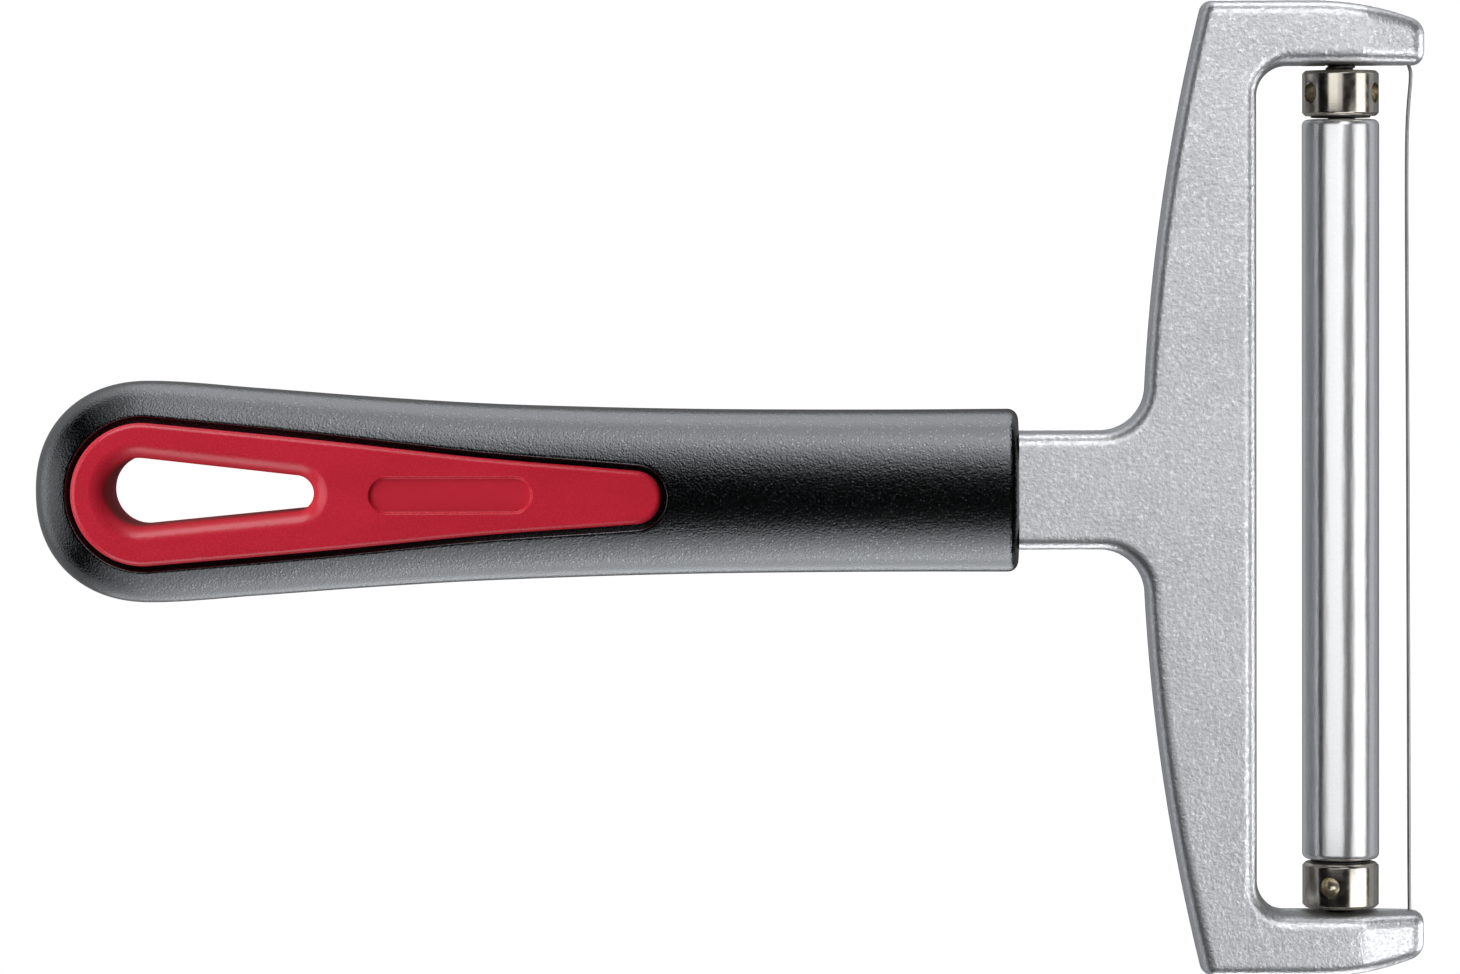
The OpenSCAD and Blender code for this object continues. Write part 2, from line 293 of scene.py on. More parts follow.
def fork_body():
    # (inset, share of the side wall, share of the rounded edge) from mid-plane to face
    lean, soft = 0.32, 1.8
    prof = [(0.0, 0.0, 0.0), (0.0, 0.012, 0.0), (0.06, 0.024, 0.0)]
    prof += [(0.06 + (lean - 0.06) * t / 7, 0.024 + 0.976 * t / 7, 0.0) for t in range(1, 8)]
    prof += [(lean + soft * (1 - math.cos(a)), 1.0, math.sin(a))
             for a in np.linspace(0, math.pi / 2, 17)[1:]]
    flat = lean + soft + 0.18
    prof.append((flat, 1.0, 1.0))
    outlines = {i: fork_outline(i) for i, _, _ in prof}
    m = len(outlines[0.0])
    verts, faces = [], []

    def z_at(x, wall, edge, s):
        low = 4.7                                 # top of the side wall above the mid-plane
        return Z0 + s * (low * wall + (6.5 - low) * edge) * tip_half(x) / 6.5

    for s in (1, -1):
        b = len(verts)
        for i, wall, edge in prof:
            verts += [(x, y, z_at(x, wall, edge, s)) for x, y in outlines[i]]
        faces += rings_faces(len(prof), m, b, True, s < 0)
        loop = outlines[flat]
        pts, tris = fill([loop], [], 2.0, 0.7)
        b = len(verts)
        verts += [(x, y, z_at(x, 1.0, 1.0, s)) for x, y in pts]
        faces += [tuple(b + t for t in (f if s > 0 else f[::-1])) for f in tris]
    verts, faces = weld(verts, faces, 2e-5)
    ob = make("fork_body", verts, faces)
    # tang that runs into the handle, with barbs
    x = X_END - 45
    up = [(X_END + 3.0, 6.0)]
    for i in range(3, -1, -1):
        xb = x + 8 + 8 * i
        up += [(xb, 6.0), (xb, 6.7), (xb - 3, 6.0)]
    up += [(x + 0.8, 6.0), (x, 5.2)]
    out = up + [(a, -b) for a, b in reversed(up)]
    k = len(out)
    tv = [(a, b, Z0 - 2.75) for a, b in out] + [(a, b, Z0 + 2.75) for a, b in out]
    tf = [tuple(range(k)), tuple(range(2 * k - 1, k - 1, -1))]
    tf += [(j, k + j, k + (j + 1) % k, (j + 1) % k) for j in range(k)]
    tang = make("tang", tv, tf)
    ob = cut(ob, [tang], "UNION")

    def drill(name, x, y1, y2, rad):
        seg, verts = 48, []
        for i in range(seg):
            a = 2 * math.pi * i / seg
            verts += [(x + rad * math.sin(a), y1, Z0 + rad * math.cos(a)),
                      (x + rad * math.sin(a), y2, Z0 + rad * math.cos(a))]
        faces = [tuple(range(0, 2 * seg, 2)), tuple(range(2 * seg - 1, 0, -2))]
        faces += [(2 * i, 2 * i + 1, (2 * i + 3) % (2 * seg), (2 * i + 2) % (2 * seg))
                  for i in range(seg)]
        return make(name, verts, faces)

    cutters = [drill("c0", AXIS_X, ARM_Y - 1, ARM_Y + 5.5, 2.05),
               drill("c1", AXIS_X, -OUT_Y - 2, -ARM_Y + 1, 2.05)]
    for s in (1, -1):
        a, b = sorted((s * (ARM_Y - 1), s * (ARM_Y + 6)))
        cutters.append(drill("c2", WIRE_X + WIRE_END[s], a, b, 0.45))
        a, b = sorted((s * (ARM_Y + 4.2), s * (OUT_Y + 2)))
        cutters.append(drill("c3", WIRE_X + WIRE_END[s], a, b, 1.3))
    return cut(ob, cutters)


# ------------------------------------------------------------------ handle
X_WIDE = X_TAIL + 15.5
HALF_W = [15, 14.05, 12.95, 12.05, 11.5, 11.15, 11, 10.95, 11]
SEC_N, PLAN_N = 2.4, 2.2


def width_at(u):
    v, m = HALF_W, len(HALF_W) - 1
    i = min(int(u * m), m - 1)
    t = u * m - i
    a = v[1] if i == 0 else v[i - 1]
    b, c = v[i], v[i + 1]
    d = v[m] if i + 2 > m else v[i + 2]
    return 0.5 * (2 * b + (c - a) * t + (2 * a - 5 * b + 4 * c - d) * t * t
                  + (3 * b - a - 3 * c + d) * t ** 3)


def bulge(s, n):
    return max(0.0, 1 - abs(s) ** n) ** (1 / n)


def section(x):
    """(half-width, half-thickness) of the handle at x."""
    if x < X_WIDE:
        s = min(1.0, (X_WIDE - x) / 15.47)
        return 15 * bulge(s, PLAN_N), 7.7 * bulge(s, SEC_N)
    u = (x - X_WIDE) / (X_END - X_WIDE)
    return width_at(min(u, 1.0)), 7.7 + 0.3 * ease(u / 0.85)


def bend(x):
    """Small sideways set of the handle's tail."""
    return 0.0044 * max(0.0, -30 - x)


def handle_z(x, y):
    w, t = section(x)
    if w < 1e-9:
        return 0.0
    return t * bulge(min(1.0, abs(y - bend(x)) / w), SEC_N)


def spow(v, e):
    return math.copysign(abs(v) ** e, v)


INLAY = (-78.6, 9.62, -12.55, 3.65, 0.0)      # x1, r1, x2, r2, y
EYE = (-79.0, 4.6, -58.0, 2.4, 0.28)
SKEW = -0.009                 # the inlays sit very slightly askew in the handle


def taper(shape, off, n_tip=40, n_side=90, n_tail=90):
    """Tapered loop of two arcs and their tangents, set out by off; starts at the tip arc's lower end."""
    x1, r1, x2, r2, y0 = shape
    f = math.degrees(math.acos((r1 - r2) / (x2 - x1)))
    r1, r2 = r1 + off, r2 + off
    tip = arc(x2, 0, r2, -f, f, n_tip)
    tail = arc(x1, 0, r1, f, 360 - f, n_tail)
    loop = tip + line(tip[-1], tail[0], n_side) + tail + line(tail[-1], tip[0], n_side)
    # the long sides are very slightly hollow
    return [(x, y * (1 - 0.06 * math.exp(-((x + 31) / 16) ** 2)) + y0 + SKEW * (x + 71))
            for x, y in loop]


def handle_body():
    x_cut = -3.0
    n_tip, n_side, n_tail = 64, 96, 120
    # outer border of the rear half: section arch at x_cut, then the plan outline round the tail
    w, t = section(x_cut)
    arch = []
    for j in range(n_tip + 1):
        a = math.radians(180 - 180 * j / n_tip)
        arch.append((x_cut, w * spow(math.cos(a), 2 / SEC_N)))
    side = []
    for j in range(1, n_side):
        x = x_cut + (X_WIDE - x_cut) * j / n_side
        side.append((x, section(x)[0]))
    tail = []
    for j in range(n_tail + 1):
        a = math.radians(90 + 180 * j / n_tail)
        tail.append((X_WIDE + 15.47 * spow(math.cos(a), 2 / PLAN_N) if 0 < j < n_tail else X_WIDE,
                     15 * spow(math.sin(a), 2 / PLAN_N)))
    outer = arch + [(x, y + bend(x)) for x, y in side + tail] + \
        [(x, -y + bend(x)) for x, y in reversed(side)]
    m = len(outer)
    rim_r = 0.30
    gap = 0.7

    def pocket(off):
        return taper(INLAY, gap + off, n_tip, n_side, n_tail)

    rim = pocket(rim_r)
    assert len(rim) == m
    verts, faces = [], []
    top_rows = 44
    for s in (1, -1):
        rows = []
        for j in range(top_rows + 1):
            k = (j / top_rows) ** 2.0
            row = []
            for (ox, oy), (ix, iy) in zip(outer, rim):
                x, y = ox + (ix - ox) * k, oy + (iy - oy) * k
                row.append((x, y, Z0 + s * handle_z(x, y)))
            rows.append(row)
        edge = rows[-1]
        for a in np.linspace(0, math.pi / 2, 8)[1:]:
            off = rim_r * (1 - math.sin(a))
            rows.append([(x, y, e[2] - s * rim_r * (1 - math.cos(a)))
                         for (x, y), e in zip(pocket(off), edge)])
        last = rows[-1]
        # the pocket widens below its rim, so that the groove stays dark
        for k, off in ((0.12, 0.12), (0.35, 0.45), (1.0, 0.45)):
            rows.append([(x, y, e[2] + (Z0 + s * 3.5 - e[2]) * k)
                         for (x, y), e in zip(pocket(off), last)])
        last = rows[-1]
        hole = taper(EYE, 1.3, n_tip, n_side, n_tail)
        for k in (0.5, 1.0):
            rows.append([(x + (hx - x) * k, y + (hy - y) * k, Z0 + s * 3.5)
                         for (x, y, _), (hx, hy) in zip(last, hole)])
        rows.append([(hx, hy, Z0) for hx, hy in hole])
        b = len(verts)
        for row in rows:
            verts += row
        faces += rings_faces(len(rows), m, b, True, s < 0)
    # front length: rings from the shared section to the rounded end rim
    ring_n = 2 * n_tip
    stations = []
    end_r = 1.4
    for j in range(57):
        x = x_cut + (X_END - end_r - x_cut) * j / 56
        stations.append((x, *section(x)))
    we, te = section(X_END - end_r)
    for a in np.linspace(0, math.pi / 2, 9)[1:]:
        d = end_r * (1 - math.cos(a))
        stations.append((X_END - end_r + end_r * math.sin(a), we - d, te - d))
    stations.append((X_END, we - end_r - 0.2, te - end_r - 0.2))
    b = len(verts)
    for x, w, t in stations:
        for j in range(ring_n):
            a = math.radians(360 * j / ring_n)
            verts.append((x, w * spow(math.cos(a), 2 / SEC_N), Z0 + t * spow(math.sin(a), 2 / SEC_N)))
    faces += rings_faces(len(stations), ring_n, b)
    e = b + (len(stations) - 1) * ring_n
    faces.append(tuple(range(e, e + ring_n)))
    verts, faces = weld(verts, faces, 1e-4)
    ob = make("handle_body", verts, faces, 40)
    # seat of the tang
    lo = (X_END - 45.2, -6.75, Z0 - 2.8)
    hi = (X_END + 1.0, 6.75, Z0 + 2.8)
    bv = [(a, c, d) for a in (lo[0], hi[0]) for c in (lo[1], hi[1]) for d in (lo[2], hi[2])]
    bf = [(0, 1, 3, 2), (4, 6, 7, 5), (0, 4, 5, 1), (2, 3, 7, 6), (0, 2, 6, 4), (1, 5, 7, 3)]
    return cut(ob, [make("seat", bv, bf)], sharp=40)


# ------------------------------------------------------------------ inlay
def inlay_top(x, y):
    return 7.95 - 0.35 * (y / 9.5) ** 2


def inlay_body(name, s):
    edge_r = 0.75
    funnel = 2.1
    n = (56, 110, 110)
    verts, faces, rows = [], [], []
    base = taper(INLAY, 0, *n)
    rows.append([(x, y, 3.52) for x, y in taper(INLAY, -0.3, *n)])
    rows.append([(x, y, 5.6) for x, y in taper(INLAY, -0.3, *n)])
    rows.append([(x, y, 6.5) for x, y in taper(INLAY, -0.02, *n)])
    for a in np.linspace(0, math.pi / 2, 11):
        off = edge_r * (1 - math.cos(a))
        rows.append([(x, y, inlay_top(x, y) - edge_r * (1 - math.sin(a)))
                     for x, y in taper(INLAY, -off, *n)])
    lip = taper(INLAY, -edge_r - 0.12, *n)
    rows.append([(x, y, inlay_top(x, y)) for x, y in lip])
    m = len(base)
    for row in rows:
        verts += row
    faces += rings_faces(len(rows), m, 0)
    # eye: crease, funnel, sleeve wall down to the mid-plane, back up outside
    eye_rows = []
    crease = taper(EYE, funnel + 0.10, *n)
    eye_rows.append([(x, y, inlay_top(x, y)) for x, y in crease])
    start = math.radians(14)
    for a in np.linspace(start, math.pi / 2, 13):
        k0, k1 = math.cos(start), 1 - math.sin(start)
        off = funnel * (1 - math.sin(a)) / k1
        drop = 2.0 * (math.cos(start) - math.cos(a)) / k0
        eye_rows.append([(x, y, inlay_top(x, y) - drop) for x, y in taper(EYE, off, *n)])
    hole = taper(EYE, 0, *n)
    for z in (5.0, 3.0, 1.2, 0.12):
        eye_rows.append([(x, y, z) for x, y in hole])
    eye_rows.append([(x, y, 0.02) for x, y in taper(EYE, 0.10, *n)])
    wall = taper(EYE, 1.25, *n)
    eye_rows.append([(x, y, 0.02) for x, y in wall])
    eye_rows.append([(x, y, 3.52) for x, y in wall])
    eye_rows.append(list(rows[0]))
    b = len(verts)
    for row in eye_rows:
        verts += row
    faces += rings_faces(len(eye_rows), m, b)
    # plain shallow panel with round ends
    steps = 7
    prof = [(2.56 - 0.36 * i / steps, 0.52 * ease(i / steps)) for i in range(steps + 1)]
    cx, cy = INLAY[0] + 41.45, -0.13

    def stadium(r):
        loop = arc(cx + 8.5, 0, r, -90, 90, 40) + line((cx + 8.5, r), (cx - 8.5, r), 40) + \
            arc(cx - 8.5, 0, r, 90, 270, 40) + line((cx - 8.5, -r), (cx + 8.5, -r), 40)
        return [(x, y + cy) for x, y in loop]

    loops = [stadium(r) for r, _ in prof]
    b = len(verts)
    for lp, (_, d) in zip(loops, prof):
        verts += [(x, y, inlay_top(x, y) - d) for x, y in lp]
    faces += rings_faces(len(loops), len(loops[0]), b)
    for lps, holes, step in (([lip], [crease, loops[0]], 0.7), ([loops[-1]], [], 0.5)):
        pts, tris = fill(lps, holes, step, 0.3)
        b = len(verts)
        d = 0.0 if holes else prof[-1][1]
        verts += [(x, y, inlay_top(x, y) - d) for x, y in pts]
        faces += [tuple(b + t for t in f) for f in tris]
    verts = [(x, y, Z0 + s * z) for x, y, z in verts]
    if s < 0:
        faces = [f[::-1] for f in faces]
    verts, faces = weld(verts, faces, 2e-5)
    return make(name, verts, faces, 20)


# ------------------------------------------------------------------ roller, nuts, spindle
NUT_LEN, NUT_R = 6.1, 5.15
UPPER_NUT = ARM_Y - 0.6 - NUT_LEN
LOWER_NUT = -ARM_Y + 0.4
UPPER_WASHER = UPPER_NUT - 0.25
LOWER_WASHER = LOWER_NUT + NUT_LEN
ROLLER_MID = (UPPER_WASHER + LOWER_WASHER + 0.25) / 2
ROLLER_H = 99.7 / 2


def roller_body():
    h, r = ROLLER_H, 5.2
    pts = [(3.5, -h), (r, -h), (r, h), (3.5, h)]
    prof = rounded(pts, [0.3, 0.85, 0.85, 0.3], 8)
    out = []
    for i, (a, y) in enumerate(prof):
        out.append((a, y + ROLLER_MID))
        b = prof[(i + 1) % len(prof)]
        if abs(b[1] - y) > 5:                     # long runs get cross rings
            out += [(a, ROLLER_MID + y + (b[1] - y) * k / 24) for k in range(1, 24)]
    return lathe("guide_roller", out, 192)


def bush_body(name, y):
    prof = rounded([(2.05, y), (3.5, y), (3.5, y + 10), (2.05, y + 10)], [0.2, 0.2, 0.2, 0.2], 4)
    return lathe(name, prof, 96)


def washer_body(name, y):
    a, b = y + 0.015, y + 0.235                   # a hair of play on both faces
    prof = rounded([(2.1, a), (4, a), (4, b), (2.1, b)], [0.06] * 4, 3)
    return lathe(name, prof, 96)


def nut_body(name, y, first):
    """Capstan nut: three blind drilled holes, countersunk mouths, broken edges."""
    c = 0.42
    pts = [(2.05, y), (NUT_R - c, y), (NUT_R, y + c), (NUT_R, y + NUT_LEN - c),
           (NUT_R - c, y + NUT_LEN), (2.05, y + NUT_LEN)]
    ob = lathe(name, rounded(pts, [0.25, 0.16, 0.16, 0.16, 0.16, 0.25], 4), 192)
    cutters = []
    for i in range(3):
        a = math.radians(first + 120 * i)
        ax = np.array([math.sin(a), 0.0, math.cos(a)])
        v1, v2 = np.array([0.0, 1.0, 0.0]), np.array([math.cos(a), 0.0, -math.sin(a)])
        o = np.array([AXIS_X, y + NUT_LEN / 2, Z0])
        # (radius, height along the hole): dished bottom, wall, countersink
        prof = [(1.3 * math.sin(t), NUT_R - 1.75 - 0.95 * math.cos(t))
                for t in np.linspace(0, math.pi / 2, 12)]
        prof += [(1.3, NUT_R - 0.16), (1.42, NUT_R - 0.02), (1.9, NUT_R + 0.5), (0.0, NUT_R + 0.5)]
        seg, verts, faces = 64, [], []
        verts.append(tuple(o + ax * prof[0][1]))
        for rr, hh in prof[1:-1]:
            verts += [tuple(o + ax * hh + rr * (v1 * math.cos(2 * math.pi * k / seg)
                                                + v2 * math.sin(2 * math.pi * k / seg)))
                      for k in range(seg)]
        verts.append(tuple(o + ax * prof[-1][1]))
        faces += [(0, 1 + (k + 1) % seg, 1 + k) for k in range(seg)]
        faces += rings_faces(len(prof) - 2, seg, 1)
        e = 1 + (len(prof) - 3) * seg
        faces += [(e + k, e + (k + 1) % seg, len(verts) - 1) for k in range(seg)]
        cutters.append(make("c", verts, faces))
    return cut(ob, cutters, sharp=28)


def spindle_body():
    """Steel spindle with a real right-hand thread at each end."""
    pitch, crest, root = 0.7, 2.0, 1.66
    top, bot = ARM_Y + 5.4, -OUT_Y + 1.5
    seg, verts, rows = 48, [], []

    def radius(y, a):
        end = min(top - y, y - bot)
        if end < 0.02:
            return root - 0.25
        ph = (y / pitch - a / (2 * math.pi)) % 1.0
        tri = abs(ph - 0.5) * 2
        r = root + (crest - root) * min(1.0, max(0.0, (tri - 0.10) / 0.45))
        r = min(r, root - 0.25 + end * 0.9)
        run = ease((end - 17.2) / 0.7)            # thread runs out into the plain shank
        return r * (1 - run) + crest * run

    ys = [bot] + list(np.arange(bot + 0.04, bot + 18.4, pitch / 10))
    mid = list(np.linspace(bot + 18.5, top - 18.5, 12))
    ys = ys + mid + list(np.arange(top - 18.4, top - 0.02, pitch / 10)) + [top]
    for y in ys:
        rows.append([(AXIS_X + radius(y, a) * math.sin(a), y, Z0 + radius(y, a) * math.cos(a))
                     for a in (2 * math.pi * k / seg for k in range(seg))])
    for r in rows:
        verts += r
    faces = rings_faces(len(rows), seg, 0, True, True)
    faces.append(tuple(range(seg)))
    faces.append(tuple(range(len(verts) - 1, len(verts) - seg - 1, -1)))
    return make("threaded_spindle", verts, faces, 50)


# ------------------------------------------------------------------ wire
WIRE_PATH = [(0.4, -ARM_Y - 5.95), (0.4, -ARM_Y - 0.4), (0.36, -ARM_Y + 4), (0.17, 0), (0, 45),
             (0.1, 49.5), (0.3, 52.5), (0.5, 54.8), (0.5, 56.1), (0.2, 57.2),
             (0.1, 58), (0.1, ARM_Y + 5.95)]


def wire_body():
    p = [np.array(q, float) for q in WIRE_PATH]
    line_pts = []
    for i in range(len(p) - 1):
        a = p[i - 1] if i else 2 * p[0] - p[1]
        b, c = p[i], p[i + 1]
        d = p[i + 2] if i + 2 < len(p) else 2 * p[-1] - p[-2]
        # centripetal spacing keeps the short bend from overshooting
        t0 = 0.0
        t1 = t0 + np.linalg.norm(b - a) ** 0.5
        t2 = t1 + np.linalg.norm(c - b) ** 0.5
        t3 = t2 + np.linalg.norm(d - c) ** 0.5
        n = max(6, int(np.linalg.norm(c - b) / 0.5))
        n = min(n, 40)
        for k in range(n):
            t = t1 + (t2 - t1) * k / n
            a1 = (t1 - t) / (t1 - t0) * a + (t - t0) / (t1 - t0) * b
            a2 = (t2 - t) / (t2 - t1) * b + (t - t1) / (t2 - t1) * c
            a3 = (t3 - t) / (t3 - t2) * c + (t - t2) / (t3 - t2) * d
            b1 = (t2 - t) / (t2 - t0) * a1 + (t - t0) / (t2 - t0) * a2
            b2 = (t3 - t) / (t3 - t1) * a2 + (t - t1) / (t3 - t1) * a3
            line_pts.append((t2 - t) / (t2 - t1) * b1 + (t - t1) / (t2 - t1) * b2)
    line_pts.append(p[-1])
    seg, r, verts = 20, 0.25, []
    k = len(line_pts)
    for i, q in enumerate(line_pts):
        u = line_pts[min(i + 1, k - 1)] - line_pts[max(i - 1, 0)]
        u = u / np.linalg.norm(u)
        nx, ny = u[1], -u[0]
        for j in range(seg):
            a = 2 * math.pi * j / seg
            verts.append((WIRE_X + q[0] + r * math.cos(a) * nx, q[1] + r * math.cos(a) * ny,
                          Z0 + r * math.sin(a)))
    faces = rings_faces(k, seg, 0, True, False)
    faces.append(tuple(range(seg - 1, -1, -1)))
    faces.append(tuple(range(len(verts) - seg, len(verts))))
    return make("slicing_wire", verts, faces, 50)


def stop_body(name, s):
    """Crimped sleeve on the wire's end, pinched across its middle."""
    y1, y2, seg = ARM_Y + 4.25, ARM_Y + 6.05, 48
    prof = rounded([(0.27, y1), (1.1, y1), (1.1, y2), (0.27, y2)], [0.05, 0.16, 0.16, 0.05], 4)
    out = []
    for i, (a, y) in enumerate(prof):
        out.append((a, y))
        b = prof[(i + 1) % len(prof)]
        if abs(b[1] - y) > 1:
            out += [(a, y + (b[1] - y) * k / 12) for k in range(1, 12)]
    verts, m = [], len(out)
    for i in range(seg):
        a = 2 * math.pi * i / seg
        for r, y in out:
            pinch = math.exp(-((y - (y1 + y2) / 2) / 0.42) ** 2) * (r - 0.27) / 0.83
            dx = r * math.sin(a) * (1 - 0.24 * pinch)
            dz = r * math.cos(a) * (1 - 0.05 * pinch)
            verts.append((WIRE_X + WIRE_END[s] + dx, s * y, Z0 + dz))
    faces = []
    for i in range(seg):
        b, c = i * m, ((i + 1) % seg) * m
        for j in range(m):
            q = (j + 1) % m
            f = (b + j, b + q, c + q, c + j)
            faces.append(f if s > 0 else f[::-1])
    return make(name, verts, faces, 40)


# ------------------------------------------------------------------ materials
class Mat:
    """A node material with short helpers."""

    def __init__(self, name):
        self.mat = bpy.data.materials.new(name)
        self.mat.use_nodes = True
        self.t = self.mat.node_tree
        self.t.nodes.clear()
        self.out = self.t.nodes.new("ShaderNodeOutputMaterial")
        self.b = self.t.nodes.new("ShaderNodeBsdfPrincipled")
        self.t.links.new(self.b.outputs["BSDF"], self.out.inputs["Surface"])
        self.coord = self.t.nodes.new("ShaderNodeTexCoord").outputs["Object"]

    def node(self, kind, **props):
        n = self.t.nodes.new(kind)
        for k, v in props.items():
            setattr(n, k, v)
        return n

    def link(self, a, b):
        self.t.links.new(a, b)

    def scaled(self, sx, sy, sz):
        n = self.node("ShaderNodeMapping")
        n.inputs["Scale"].default_value = (sx, sy, sz)
        self.link(self.coord, n.inputs["Vector"])
        return n.outputs["Vector"]

    def noise(self, scale, detail=2.0, rough=0.5, vec=None):
        n = self.node("ShaderNodeTexNoise")
        n.inputs["Scale"].default_value = scale
        n.inputs["Detail"].default_value = detail
        n.inputs["Roughness"].default_value = rough
        self.link(vec or self.coord, n.inputs["Vector"])
        return n.outputs["Fac"]

    def cells(self, scale, vec=None):
        n = self.node("ShaderNodeTexVoronoi")
        n.inputs["Scale"].default_value = scale
        self.link(vec or self.coord, n.inputs["Vector"])
        return n

    def ramp(self, fac, lo, hi, a, b):
        n = self.node("ShaderNodeMapRange")
        n.inputs["From Min"].default_value = lo
        n.inputs["From Max"].default_value = hi
        n.inputs["To Min"].default_value = a
        n.inputs["To Max"].default_value = b
        self.link(fac, n.inputs["Value"])
        return n.outputs["Result"]

    def mix(self, fac, a, b):
        n = self.node("ShaderNodeMix", data_type="RGBA")
        for sock, v in ((n.inputs[6], a), (n.inputs[7], b)):
            if isinstance(v, tuple):
                sock.default_value = (*v, 1)
            else:
                self.link(v, sock)
        if isinstance(fac, float):
            n.inputs[0].default_value = fac
        else:
            self.link(fac, n.inputs[0])
        return n.outputs[2]

    def math(self, op, a, b):
        n = self.node("ShaderNodeMath", operation=op)
        for sock, v in ((n.inputs[0], a), (n.inputs[1], b)):
            if isinstance(v, (int, float)):
                sock.default_value = v
            else:
                self.link(v, sock)
        return n.outputs[0]

    def bump(self, height, strength, distance, normal=None):
        n = self.node("ShaderNodeBump")
        n.inputs["Strength"].default_value = strength
        n.inputs["Distance"].default_value = distance
        self.link(height, n.inputs["Height"])
        if normal is not None:
            self.link(normal, n.inputs["Normal"])
        return n.outputs["Normal"]

    def set(self, **values):
        for k, v in values.items():
            sock = self.b.inputs[k.replace("_", " ")]
            if isinstance(v, (int, float)):
                sock.default_value = v
            elif isinstance(v, tuple):
                sock.default_value = (*v, 1) if len(v) == 3 else v
            else:
                self.link(v, sock)
        return self


def cast_aluminium():
    m = Mat("die_cast_aluminium")
    grain = m.noise(1900, 3.0, 0.62)
    fleck = m.cells(2600)
    blotch = m.noise(70, 3.0, 0.55)
    tone = m.mix(m.ramp(blotch, 0.35, 0.65, 0.0, 1.0), (0.565, 0.575, 0.595), (0.63, 0.635, 0.655))
    sparkle = m.ramp(grain, 0.55, 0.70, 0.0, 0.8)
    color = m.mix(sparkle, tone, (0.93, 0.93, 0.95))
    dark = m.ramp(grain, 0.46, 0.30, 0.0, 0.65)
    color = m.mix(dark, color, (0.40, 0.41, 0.43))
    rough = m.ramp(grain, 0.3, 0.7, 0.46, 0.36)
    n1 = m.bump(m.noise(320, 2.0, 0.5), 0.12, 0.0004)
    n2 = m.bump(grain, 0.36, 0.00020, n1)
    n3 = m.bump(fleck.outputs["Distance"], 0.15, 0.00012, n2)
    m.set(Base_Color=color, Metallic=1.0, Roughness=rough, Normal=n3)
    return m.mat


def black_plastic():
    m = Mat("handle_plastic")
    grain = m.noise(3500, 2.0, 0.6)
    mid = m.noise(900, 2.0, 0.5)
    speck = m.cells(2500)
    dust = m.ramp(speck.outputs["Distance"], 0.36, 0.18, 0.0, 1.0)
    draw = m.node("ShaderNodeSeparateColor")
    m.link(speck.outputs["Color"], draw.inputs["Color"])
    pick = m.ramp(draw.outputs["Red"], 0.60, 0.90, 0.0, 1.0)
    color = m.mix(m.ramp(mid, 0.3, 0.7, 0.0, 1.0), (0.0008, 0.0009, 0.0010), (0.0018, 0.0019, 0.0021))
    # bright flecks where the skin catches the light
    spark = m.ramp(m.math("MULTIPLY", dust, pick), 0.0, 0.3, 0.0, 1.0)
    color = m.mix(spark, color, (0.15, 0.155, 0.165))
    rough = m.ramp(grain, 0.3, 0.7, 0.08, 0.16)
    n1 = m.bump(mid, 0.03, 0.0002)
    n2 = m.bump(m.noise(1500, 2.0, 0.6), 0.13, 0.00020, n1)
    n3 = m.bump(grain, 0.54, 0.00010, n2)
    m.set(Base_Color=color, Roughness=rough, Metallic=spark, Normal=n3)
    m.b.inputs["IOR"].default_value = 1.92
    return m.mat


def red_plastic():
    m = Mat("inlay_plastic")
    fine = m.noise(3000, 2.0, 0.55)
    flow = m.noise(240, 3.0, 0.5, m.scaled(0.35, 1.0, 1.0))
    # satin face, matt down in the eye; painted shade darkens the red further down in the eye
    axes = m.node("ShaderNodeSeparateXYZ")
    m.link(m.coord, axes.inputs["Vector"])
    lift = m.node("ShaderNodeMath", operation="ABSOLUTE")
    m.link(m.math("SUBTRACT", axes.outputs["Z"], Z0 * MM), lift.inputs[0])
    eye_painted_shade = m.ramp(lift.outputs[0], 7.2 * MM, 5.4 * MM, 0.0, 1.0)
    face = m.mix(m.ramp(flow, 0.3, 0.7, 0.0, 1.0), (0.67, 0.0235, 0.048), (0.73, 0.027, 0.055))
    # painted shade: the red turns darker the further it lies down in the eye
    color = m.mix(eye_painted_shade, face, (0.45, 0.009, 0.018))
    matt = m.ramp(lift.outputs[0], 7.5 * MM, 7.0 * MM, 0.0, 1.0)
    rough = m.math("MULTIPLY_ADD", matt, 0.4)
    m.link(m.ramp(fine, 0.3, 0.7, 0.22, 0.32), rough.node.inputs[2])
    n1 = m.bump(flow, 0.05, 0.0003)
    n2 = m.bump(fine, 0.12, 0.00008, n1)
    m.set(Base_Color=color, Roughness=rough, Normal=n2)
    m.b.inputs["Specular IOR Level"].default_value = 0.44
    return m.mat


